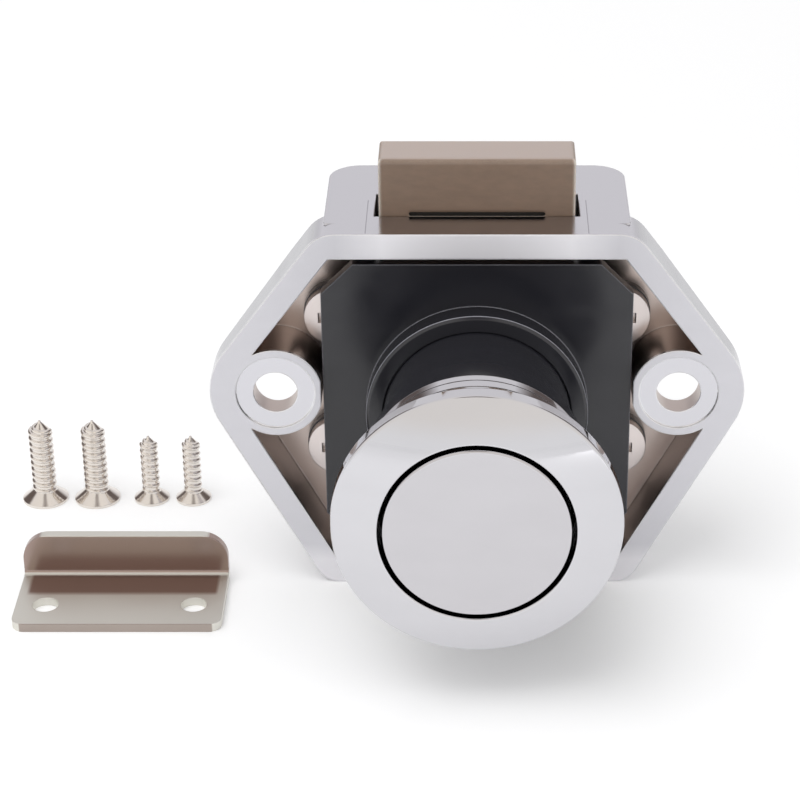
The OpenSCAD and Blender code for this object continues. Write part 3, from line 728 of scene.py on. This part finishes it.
def thread_tree():
    """Straight core with a short point, and a round ridge wound about it."""
    name = "Screw thread"
    if name in bpy.data.node_groups:
        return bpy.data.node_groups[name]
    tree, given, result = node_group(
        name, "GeometryNodeTree",
        [
            ("Geometry", "Geometry", None),
            ("Place", "Vector", (0.0, 0.0, 0.0)),
            ("Core Radius", "Float", 0.001),
            ("Ridge Radius", "Float", 0.0003),
            ("Coil Radius", "Float", 0.001),
            ("Pitch", "Float", 0.001),
            ("Shank Length", "Float", 0.006),
            ("Point Length", "Float", 0.0013),
            ("Metal", "Material", None),
        ],
        [("Geometry", "Geometry")],
    )
    shank, point = given["Shank Length"], given["Point Length"]
    ridge = added(
        tree, "GeometryNodeCurvePrimitiveCircle", Resolution=WIRE_SIDES,
        Radius=given["Ridge Radius"],
    )

    def coil(height, end_radius):
        turns = maths(tree, "DIVIDE", height, given["Pitch"])
        return smoothed(tree, wound(
            tree, ridge, COIL_STEPS, turns, given["Coil Radius"], end_radius, height
        ))

    def cone(height, top_radius):
        body = added(
            tree, "GeometryNodeMeshCone", Vertices=CORE_SIDES, Radius_Top=top_radius,
            Radius_Bottom=given["Core Radius"], Depth=height,
        )
        return smoothed(tree, body.outputs["Mesh"], body.outputs["Side"])

    rise = added(tree, "ShaderNodeCombineXYZ", Z=shank).outputs["Vector"]
    narrow = maths(tree, "MULTIPLY", given["Core Radius"], RUN_OUT)
    closing = maths(tree, "MULTIPLY", point, RUN_OUT)
    both = tree.nodes.new("GeometryNodeJoinGeometry")
    for piece in (
        coil(shank, given["Coil Radius"]),
        cone(shank, given["Core Radius"]),
        moved(tree, coil(closing, narrow), rise),
        moved(tree, cone(point, TIP_RADIUS), rise),
    ):
        tree.links.new(piece, both.inputs["Geometry"])
    whole = tree.nodes.new("GeometryNodeJoinGeometry")
    thread = moved(tree, both.outputs["Geometry"], given["Place"])
    for piece in (thread, given["Geometry"]):
        tree.links.new(piece, whole.inputs["Geometry"])
    end_in_metal(tree, whole.outputs["Geometry"], given, result)
    return tree


def spring_tree():
    """Round wire wound into a coil along the button's axis."""
    name = "Coil spring"
    if name in bpy.data.node_groups:
        return bpy.data.node_groups[name]
    tree, given, result = node_group(
        name, "GeometryNodeTree",
        [
            ("Geometry", "Geometry", None),
            ("Place", "Vector", (0.0, 0.0, 0.0)),
            ("Coil Radius", "Float", 0.0025),
            ("Wire Radius", "Float", 0.00035),
            ("Turns", "Float", 6.0),
            ("Coil Length", "Float", 0.008),
            ("Metal", "Material", None),
        ],
        [("Geometry", "Geometry")],
    )
    wire = added(
        tree, "GeometryNodeCurvePrimitiveCircle", Resolution=WIRE_SIDES,
        Radius=given["Wire Radius"],
    )
    coil = wound(
        tree, wire, SPRING_STEPS, given["Turns"], given["Coil Radius"],
        given["Coil Radius"], given["Coil Length"],
    )
    lying = moved(tree, coil, given["Place"], (-math.pi / 2, 0.0, 0.0))
    end_in_metal(tree, smoothed(tree, lying), given, result)
    return tree


def grown(obj, tree, **values):
    """Runs a Geometry Nodes tree on an object and keeps the plain mesh."""
    modifier = obj.modifiers.new(tree.name, "NODES")
    modifier.node_group = tree
    for item in tree.interface.items_tree:
        key = item.name.replace(" ", "_")
        if item.in_out == "INPUT" and key in values:
            modifier[item.identifier] = values[key]
    bpy.context.view_layer.update()
    graph = bpy.context.evaluated_depsgraph_get()
    mesh = bpy.data.meshes.new_from_object(obj.evaluated_get(graph))
    obj.modifiers.remove(modifier)
    obj.data = mesh


# --------------------------------------------------------------------------
# Operators, one for each piece or group of like pieces
# --------------------------------------------------------------------------


class LOCK_OT_case(bpy.types.Operator):
    """Dress the die-cast case in chrome plating"""

    bl_idname = "lock.case"
    bl_label = "Case"

    def execute(self, context):
        coat_nodes(case_plating(context.scene.lock_case), "case")
        return {"FINISHED"}


class LOCK_OT_front(bpy.types.Operator):
    """Dress the black front cover and turn the guide tube"""

    bl_idname = "lock.front"
    bl_label = "Front cover and guide tube"

    def execute(self, context):
        settings = context.scene.lock_case
        black = black_moulding(settings)
        mark_sleeve(black, settings)
        coat_nodes(black, "front_cover")

        front, back = reach("guide_tube")
        flange = half_width("guide_tube")
        radius, bore = 10.2 * MM, 9.3 * MM
        step = back + 0.8 * MM
        soft = 0.25 * MM
        tube = turned(
            "guide_tube_moulding",
            [(bore, front - 0.1 * MM), (bore + 0.1 * MM, front)]
            + arc((radius - soft, front - soft), soft, 90, 0, 6)
            + [(radius, step), (flange, step), (flange, back), (bore, back)],
            context.scene.lock_button.steps, True,
        )
        hand_over(tube, black, "lock_body", "black_plastic", "guide_tube")
        return {"FINISHED"}


# Neck behind the ring, with a seat at its rear for the collar's spigot
NECK_RADIUS = 11.94 * MM
NECK_WALL = 1.0 * MM
SEAT_DEPTH = 5.9 * MM
SPIGOT_PLAY = 0.05 * MM
# Radii of the bores round the guide tube, and depth of the ring's narrower bore
NECK_BORE = 10.4 * MM
COLLAR_BORE = 10.26 * MM
RING_BORE_DEPTH = 1.5 * MM
# Beads on the neck: fall below its radius and place in front of its rear, in mm
NECK_BEADS = ((0.22, 3.45), (0.14, 2.45), (0.22, 2.15), (0.04, 1.3), (0.14, 0.95), (0.0, 0.25))


class LOCK_OT_rosette(bpy.types.Operator):
    """Turn the rosette's chromed ring and its black collar"""

    bl_idname = "lock.rosette"
    bl_label = "Rosette"

    def execute(self, context):
        settings = context.scene.lock_button
        neck_rear = self.turn_ring(settings)
        self.turn_collar(context, settings, neck_rear)
        return {"FINISHED"}

    def turn_ring(self, settings):
        """Makes the ring and returns the reach of its neck's rear end."""
        rim_r = half_width("rosette_ring")
        face, neck_rear = reach("rosette_ring")
        bore, neck = settings.ring_bore, NECK_RADIUS
        rim = face - settings.ring_fall
        rear = rim - settings.ring_rim
        seat = neck_rear + SEAT_DEPTH
        # The face is part of a ball whose centre lies on the axis
        centre = (face**2 + bore**2 - rim**2 - rim_r**2) / (2 * settings.ring_fall)
        dome = math.hypot(face - centre, bore)
        start = math.degrees(math.acos((bore + 0.25 * MM) / dome))
        stop = math.degrees(math.acos((rim_r - 0.2 * MM) / dome))
        profile = (
            [(bore, face - RING_BORE_DEPTH), (bore, face - 0.22 * MM)]
            + arc((bore + 0.2 * MM, face - 0.24 * MM), 0.2 * MM, 180, 100, 5)
            + arc((0.0, centre), dome, start, stop, 28)
            + [(rim_r - 0.12 * MM, rim + 0.03 * MM), (rim_r, rim - 0.14 * MM)]
            + arc((rim_r - 0.18 * MM, rear + 0.18 * MM), 0.18 * MM, 0, -90, 5)
            + [(neck - 0.35 * MM, rear), (neck - 0.35 * MM, rear - 0.3 * MM)]
            + arc((neck - 0.34 * MM, rear - 0.55 * MM), 0.12 * MM, 90, 0, 4)
            + [(neck - fall * MM, neck_rear + out * MM) for fall, out in NECK_BEADS]
            + arc((neck - 0.2 * MM, neck_rear + 0.2 * MM), 0.2 * MM, 0, -90, 5)
            + [(neck - NECK_WALL, neck_rear), (neck - NECK_WALL, seat)]
            + [(NECK_BORE, seat), (NECK_BORE, face - RING_BORE_DEPTH)]
        )
        ring = turned("rosette_ring_turned", profile, settings.steps, True)
        metal = button_plating("Polished ring plating", settings.plating)
        hand_over(ring, metal, "rosette_body", "chrome_button", "rosette_ring")
        return neck_rear

    def turn_collar(self, context, settings, neck_rear):
        """Makes the collar, whose spigot stands in the neck."""
        out_r = half_width("rosette_collar")
        front_end, rear_end = reach("rosette_collar")
        spigot = NECK_RADIUS - NECK_WALL - SPIGOT_PLAY
        profile = (
            [(COLLAR_BORE, rear_end + 0.15 * MM), (COLLAR_BORE + 0.15 * MM, rear_end)]
            + arc((out_r - 0.2 * MM, rear_end + 0.2 * MM), 0.2 * MM, -90, 0, 5)
            + [(out_r, neck_rear), (spigot, neck_rear)]
            + [(spigot, front_end), (COLLAR_BORE, front_end)]
        )
        collar = turned("rosette_collar_moulding", profile, settings.steps, True)
        black = black_moulding(context.scene.lock_case)
        hand_over(collar, black, "rosette_body", "black_plastic", "rosette_collar")


class LOCK_OT_button(bpy.types.Operator):
    """Turn the domed, polished button cap"""

    bl_idname = "lock.button"
    bl_label = "Button cap"

    def execute(self, context):
        settings = context.scene.lock_button
        radius = half_width("button_cap")
        front, rear = reach("button_cap")
        face = front - settings.dome
        soft = settings.edge_radius
        # The face is part of a ball whose centre lies on the axis
        dome = (radius**2 + settings.dome**2) / (2 * settings.dome)
        crown = face + settings.dome - dome
        rise = math.degrees(math.acos((radius - soft) / dome))
        wall, top = 1.2 * MM, face - 1.6 * MM
        profile = (
            arc((0.0, crown), dome, 90, rise, 24)
            + arc((radius - soft, face - soft + 0.02 * MM), soft, 80, 0, 8)
            + [(radius, rear + 0.1 * MM), (radius - 0.1 * MM, rear)]
            + [(radius - wall, rear), (radius - wall, top), (0.0, top)]
        )
        cap = turned("button_cap_turned", profile, settings.steps, False)
        metal = button_plating("Polished cap plating", settings.cap)
        hand_over(cap, metal, "button_body", "chrome_button", "button_cap")
        return {"FINISHED"}


class LOCK_OT_bolt(bpy.types.Operator):
    """Dress the sliding bolt in tan nylon"""

    bl_idname = "lock.bolt"
    bl_label = "Bolt"

    def execute(self, context):
        coat_nodes(bolt_nylon(context.scene.lock_bolt), "bolt")
        return {"FINISHED"}


class LOCK_OT_body_screws(bpy.types.Operator):
    """Dress the four pan head screws in the tray and the rear cover"""

    bl_idname = "lock.body_screws"
    bl_label = "Body screws and rear cover"

    def execute(self, context):
        metal = nickel("Plated screws", context.scene.lock_kit.screw_metal, 0.28, 0.4)
        coat_nodes(metal, *[f"body_screw_{i}" for i in (1, 2, 3, 4)])
        coat_nodes(metal, "cover_screw_1", "cover_screw_2")
        coat_nodes(nickel("Zinc plated sheet", (0.52, 0.52, 0.54), 0.28, 0.42), "rear_cover")
        return {"FINISHED"}


class LOCK_OT_wood_screws(bpy.types.Operator):
    """Cut threads on the four loose wood screws"""

    bl_idname = "lock.wood_screws"
    bl_label = "Wood screws"

    # Diameter and length of the point of each kind, and the core's share of the diameter
    sizes = {"case_screw": (2.9 * MM, 1.3 * MM), "strike_screw": (2.2 * MM, 1.0 * MM)}
    core_share = 0.415

    def execute(self, context):
        settings = context.scene.lock_kit
        metal = nickel("Nickel plated screws", settings.nickel, 0.1, 0.2)
        pitches = {"case_screw": settings.case_pitch, "strike_screw": settings.strike_pitch}
        ridge = settings.ridge
        for kind, (diameter, point) in self.sizes.items():
            for name in (kind + "_1", kind + "_2"):
                low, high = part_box(name)
                head = (high[0] - low[0] - diameter) / 2 + 0.1 * MM
                screw = copy_of_node(name, name + "_threaded")
                grown(
                    screw, thread_tree(),
                    Place=((low[0] + high[0]) / 2, (low[1] + high[1]) / 2, low[2] + head),
                    Core_Radius=self.core_share * diameter, Ridge_Radius=ridge,
                    Coil_Radius=diameter / 2 - ridge, Pitch=pitches[kind],
                    Shank_Length=high[2] - low[2] - head - point, Point_Length=point,
                    Metal=metal,
                )
                hand_over(screw, metal, "lock_body", "nickel_screws", name)
        return {"FINISHED"}


class LOCK_OT_strike(bpy.types.Operator):
    """Dress the bent strike plate in nickel"""

    bl_idname = "lock.strike"
    bl_label = "Strike plate"

    def execute(self, context):
        coat_nodes(strike_sheet(context.scene.lock_kit), "strike_plate")
        return {"FINISHED"}


class LOCK_OT_spring(bpy.types.Operator):
    """Wind the button's spring"""

    bl_idname = "lock.spring"
    bl_label = "Button spring"

    def execute(self, context):
        low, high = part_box("button_spring")
        wire = 0.35 * MM
        name = "button_spring_wound"
        spring = new_object(name, bpy.data.meshes.new(name))
        metal = nickel("Spring wire", (0.55, 0.54, 0.53), 0.2, 0.3)
        grown(
            spring, spring_tree(),
            Place=(0.0, low[1] + wire, BUTTON_AXIS_Z),
            Coil_Radius=half_width("button_spring") - wire, Wire_Radius=wire, Turns=6.0,
            Coil_Length=high[1] - low[1] - 2 * wire, Metal=metal,
        )
        hand_over(spring, metal, "lock_body", "steel", "button_spring")
        return {"FINISHED"}


class LOCK_OT_inner(bpy.types.Operator):
    """Finish the pieces that the case hides"""

    bl_idname = "lock.inner"
    bl_label = "Inner pieces"

    def execute(self, context):
        steel = nickel("Drawn steel", (0.5, 0.49, 0.48), 0.2, 0.32)
        acetal = finish(
            "White acetal", (0.7, 0.69, 0.65), metallic=0.0, low=0.3, high=0.42,
            radius=0.15 * MM, ripple=1500.0, height=2.0e-6,
        )
        coat_nodes(black_moulding(context.scene.lock_case), "mechanism_body", "button_core")
        coat_nodes(acetal, "cam_carriage")
        coat_nodes(
            steel, "core_screw", "follower_pin_left", "follower_pin_right", "catch_wire"
        )
        return {"FINISHED"}


# --------------------------------------------------------------------------
# Stage
# --------------------------------------------------------------------------

WHITE = (1.0, 1.0, 1.0)
# Shades that metal shows of the studio: its walls, which blend from front to behind
# over the turn, its horizon, which fades out upwards, and its dark cards
WALL_FRONT = (1.0, 0.96, 0.91)
WALL_BEHIND = (0.85, 0.835, 0.855)
WALL_TURN = 0.6
HORIZON = (1.04, 1.04, 1.04)
HORIZON_TOP = 0.18
CARD_COLOUR = (0.15, 0.122, 0.115)
# Direction of each card, with its outer and inner angle in degrees
CARDS = (
    ((0.0, -0.46, 0.888), 14.0, 8.0),
    ((0.78, 0.44, 0.44), 28.0, 18.0),
)
# Place and size of each soft light, and its share of the key's power
LIGHTS = {
    "key": ((-0.12, -0.1, 0.4), (0.4, 0.3), 1.0),
    "fill": ((0.3, -0.3, 0.1), (0.25, 0.35), 0.35),
}
FLOOR_HALF = 1.6
# Distance from the lock where the floor's lift starts to grow, and where it is full
LIFT_NEAR, LIFT_FAR = 0.12, 0.6
# Camera's place, its tilt below level in degrees and its sideways shift
CAMERA_PLACE = (0.0, -0.24115, 0.12476)
CAMERA_TILT = 27.51
CAMERA_SHIFT = -77.0 / 800.0
SENSOR_WIDTH = 36.0


def soft_light(name, place, size, power):
    """Area light that shines on the lock and isn't mirrored in it."""
    lamp = bpy.data.lights.new(name, "AREA")
    lamp.shape = "RECTANGLE"
    lamp.size, lamp.size_y = size
    lamp.energy = power
    obj = bpy.data.objects.new(name, lamp)
    obj.location = place
    obj.rotation_euler = (-Vector(place)).to_track_quat("-Z", "Y").to_euler()
    obj.visible_glossy = False
    bpy.context.scene.collection.objects.link(obj)


def seen_directly(tree):
    """Two masks: what the camera sees, and what metal and glass show."""
    path = tree.nodes.new("ShaderNodeLightPath").outputs
    mirrored = maths(tree, "MAXIMUM", path["Is Glossy Ray"], path["Is Transmission Ray"])
    return path["Is Camera Ray"], mirrored


def paper_material(settings):
    """Floor paper: a plain pale sheet, lifted to white where it is looked at."""
    material = bpy.data.materials.new("Floor paper")
    material.use_nodes = True
    tree = material.node_tree
    shader = tree.nodes["Principled BSDF"]
    feed(tree, settings.paper, shader.inputs["Base Color"])
    shader.inputs["Roughness"].default_value = 0.9
    shader.inputs["Specular IOR Level"].default_value = 0.1
    place = tree.nodes.new("ShaderNodeTexCoord").outputs["Object"]
    away = added(tree, "ShaderNodeVectorMath", Vector=place)
    away.operation = "LENGTH"
    growing = ramp(
        tree, away.outputs["Value"], From_Min=LIFT_NEAR, From_Max=LIFT_FAR,
        To_Min=settings.lift, To_Max=settings.far_lift,
    )
    seen = maths(tree, "MAXIMUM", *seen_directly(tree))
    lift = added(tree, "ShaderNodeEmission", Strength=maths(tree, "MULTIPLY", seen, growing))
    both = tree.nodes.new("ShaderNodeAddShader")
    tree.links.new(shader.outputs[0], both.inputs[0])
    tree.links.new(lift.outputs[0], both.inputs[1])
    tree.links.new(both.outputs[0], tree.nodes["Material Output"].inputs["Surface"])
    return material


def studio_world(settings):
    """Even light, white behind the scene, and soft shades and cards in reflections."""
    world = bpy.data.worlds.new("Studio")
    world.use_nodes = True
    tree = world.node_tree
    parts, direction = folded(tree, "Generated")
    behind = ramp(tree, parts["Y"], From_Min=-WALL_TURN, From_Max=WALL_TURN)
    wall = blend(tree, behind, WALL_FRONT, WALL_BEHIND)
    above = added(tree, "ShaderNodeMapRange", Value=parts["Z"], From_Max=HORIZON_TOP)
    above.interpolation_type = "SMOOTHSTEP"
    shade = blend(tree, above.outputs["Result"], HORIZON, wall)
    for card, outer, inner in CARDS:
        towards = dot(tree, direction, Vector(card).normalized())
        spot = ramp(
            tree, towards, From_Min=math.cos(math.radians(outer)),
            From_Max=math.cos(math.radians(inner)),
        )
        shade = blend(tree, spot, shade, CARD_COLOUR)
    light = tree.nodes["Background"]
    feed(tree, WHITE, light.inputs["Color"])
    light.inputs["Strength"].default_value = settings.sky
    mirrored = added(tree, "ShaderNodeBackground", Color=shade)
    white = added(tree, "ShaderNodeBackground", Color=WHITE)
    camera_ray, mirror_ray = seen_directly(tree)
    surface = light.outputs[0]
    for ray, shown in ((mirror_ray, mirrored), (camera_ray, white)):
        pick = tree.nodes.new("ShaderNodeMixShader")
        tree.links.new(ray, pick.inputs["Fac"])
        tree.links.new(surface, pick.inputs[1])
        tree.links.new(shown.outputs[0], pick.inputs[2])
        surface = pick.outputs[0]
    tree.links.new(surface, tree.nodes["World Output"].inputs["Surface"])
    return world


class LOCK_OT_stage(bpy.types.Operator):
    """Set the floor, the light and the camera"""

    bl_idname = "lock.stage"
    bl_label = "Stage"

    def execute(self, context):
        settings = context.scene.lock_stage
        scene = context.scene
        z, half = cad_box[0][2], FLOOR_HALF
        corners = [(-half, -half, z), (half, -half, z), (half, half, z), (-half, half, z)]
        mesh = bpy.data.meshes.new("floor")
        mesh.from_pydata(corners, [], [(0, 1, 2, 3)])
        mesh.materials.append(paper_material(settings))
        floor = new_object("floor", mesh)

        scene.world = studio_world(settings)
        for name, (place, size, share) in LIGHTS.items():
            soft_light(name, place, size, share * settings.key_power)

        lens = bpy.data.cameras.new("camera")
        lens.lens = settings.lens
        lens.sensor_width = SENSOR_WIDTH
        lens.shift_x = CAMERA_SHIFT
        lens.clip_start = 0.01
        camera = bpy.data.objects.new("camera", lens)
        camera.location = CAMERA_PLACE
        camera.rotation_euler = (math.radians(90.0 - CAMERA_TILT), 0.0, 0.0)
        scene.collection.objects.link(camera)
        scene.camera = camera
        scene.view_settings.view_transform = "Standard"
        return {"FINISHED"}


class LOCK_PT_panel(bpy.types.Panel):
    """Sizes, colours and steps of the lock"""

    bl_idname = "LOCK_PT_panel"
    bl_label = "Cabinet lock"
    bl_space_type = "VIEW_3D"
    bl_region_type = "UI"
    bl_category = "Lock"

    def draw(self, context):
        for settings in SETTINGS:
            group = getattr(context.scene, settings)
            box = self.layout.box()
            for prop in group.bl_rna.properties:
                if prop.identifier not in {"rna_type", "name"}:
                    box.prop(group, prop.identifier)
        for operator in OPERATORS:
            self.layout.operator(operator.bl_idname)


SETTINGS = {
    "lock_case": CaseSettings,
    "lock_button": ButtonSettings,
    "lock_bolt": BoltSettings,
    "lock_kit": KitSettings,
    "lock_stage": StageSettings,
}

OPERATORS = (
    LOCK_OT_case, LOCK_OT_front, LOCK_OT_rosette, LOCK_OT_button, LOCK_OT_bolt,
    LOCK_OT_body_screws, LOCK_OT_wood_screws, LOCK_OT_strike, LOCK_OT_spring,
    LOCK_OT_inner, LOCK_OT_stage,
)


def register():
    for group in SETTINGS.values():
        bpy.utils.register_class(group)
    for name, group in SETTINGS.items():
        setattr(bpy.types.Scene, name, PointerProperty(type=group))
    for operator in OPERATORS:
        bpy.utils.register_class(operator)
    bpy.utils.register_class(LOCK_PT_panel)


def unregister():
    bpy.utils.unregister_class(LOCK_PT_panel)
    for operator in reversed(OPERATORS):
        bpy.utils.unregister_class(operator)
    for name in SETTINGS:
        delattr(bpy.types.Scene, name)
    for group in reversed(list(SETTINGS.values())):
        bpy.utils.unregister_class(group)


def main():
    register()
    bpy.ops.lock.case()
    bpy.ops.lock.front()
    bpy.ops.lock.rosette()
    bpy.ops.lock.button()
    bpy.ops.lock.bolt()
    bpy.ops.lock.body_screws()
    bpy.ops.lock.wood_screws()
    bpy.ops.lock.strike()
    bpy.ops.lock.spring()
    bpy.ops.lock.inner()
    bpy.ops.lock.stage()


if __name__ == "__main__":
    main()
